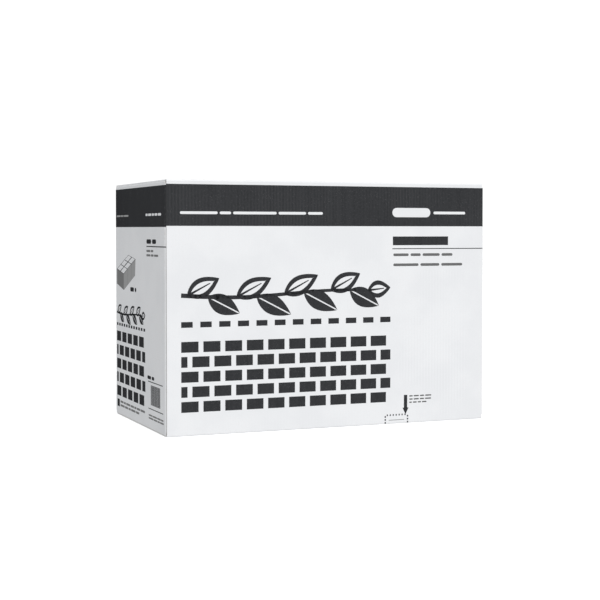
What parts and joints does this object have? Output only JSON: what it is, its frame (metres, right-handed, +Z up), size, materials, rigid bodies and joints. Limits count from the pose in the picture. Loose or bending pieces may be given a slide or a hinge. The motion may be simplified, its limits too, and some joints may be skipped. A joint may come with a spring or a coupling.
{
  "type": "case of floral foam bricks",
  "caption": "Closed corrugated carton with fold-over flaps, packed with upright floral foam bricks; its long top flaps hinge open.",
  "frame": {"origin": "centre of the underside, on the surface that the closed case stands on", "axes": "+X along the long front face to the right as seen from the front, +Y from front to back, +Z up; the long printed front face is at -Y"},
  "size_m": [0.66, 0.354, 0.47],
  "materials": {
    "carton_board": "satin",
    "foam": "matte"
  },
  "bodies": {
    "carton": {"carton_sleeve": "carton_board", "flap_top_left": "carton_board", "flap_top_right": "carton_board", "flap_bottom_front": "carton_board", "flap_bottom_back": "carton_board", "flap_bottom_left": "carton_board", "flap_bottom_right": "carton_board", "foam_brick_lower_r1_c1": "foam", "foam_brick_lower_r1_c2": "foam", "foam_brick_lower_r1_c3": "foam", "foam_brick_lower_r1_c4": "foam", "foam_brick_lower_r1_c5": "foam", "foam_brick_lower_r1_c6": "foam", "foam_brick_lower_r1_c7": "foam", "foam_brick_lower_r1_c8": "foam", "foam_brick_lower_r2_c1": "foam", "foam_brick_lower_r2_c2": "foam", "foam_brick_lower_r2_c3": "foam", "foam_brick_lower_r2_c4": "foam", "foam_brick_lower_r2_c5": "foam", "foam_brick_lower_r2_c6": "foam", "foam_brick_lower_r2_c7": "foam", "foam_brick_lower_r2_c8": "foam", "foam_brick_lower_r3_c1": "foam", "foam_brick_lower_r3_c2": "foam", "foam_brick_lower_r3_c3": "foam", "foam_brick_lower_r3_c4": "foam", "foam_brick_lower_r3_c5": "foam", "foam_brick_lower_r3_c6": "foam", "foam_brick_lower_r3_c7": "foam", "foam_brick_lower_r3_c8": "foam", "foam_brick_upper_r1_c1": "foam", "foam_brick_upper_r1_c2": "foam", "foam_brick_upper_r1_c3": "foam", "foam_brick_upper_r1_c4": "foam", "foam_brick_upper_r1_c5": "foam", "foam_brick_upper_r1_c6": "foam", "foam_brick_upper_r1_c7": "foam", "foam_brick_upper_r1_c8": "foam", "foam_brick_upper_r2_c1": "foam", "foam_brick_upper_r2_c2": "foam", "foam_brick_upper_r2_c3": "foam", "foam_brick_upper_r2_c4": "foam", "foam_brick_upper_r2_c5": "foam", "foam_brick_upper_r2_c6": "foam", "foam_brick_upper_r2_c7": "foam", "foam_brick_upper_r2_c8": "foam", "foam_brick_upper_r3_c1": "foam", "foam_brick_upper_r3_c2": "foam", "foam_brick_upper_r3_c3": "foam", "foam_brick_upper_r3_c4": "foam", "foam_brick_upper_r3_c5": "foam", "foam_brick_upper_r3_c6": "foam", "foam_brick_upper_r3_c7": "foam", "foam_brick_upper_r3_c8": "foam"},
    "top_flap_front": {"flap_top_front": "carton_board"},
    "top_flap_back": {"flap_top_back": "carton_board"}
  },
  "joints": [
    {"name": "front_flap_fold", "type": "hinge", "parent": "carton", "child": "top_flap_front", "pos_m": [0, -0.177, 0.47], "axis": [1, 0, 0], "range_deg": [0, 178]},
    {"name": "back_flap_fold", "type": "hinge", "parent": "carton", "child": "top_flap_back", "pos_m": [0, 0.177, 0.47], "axis": [-1, 0, 0], "range_deg": [0, 178]}
  ]
}
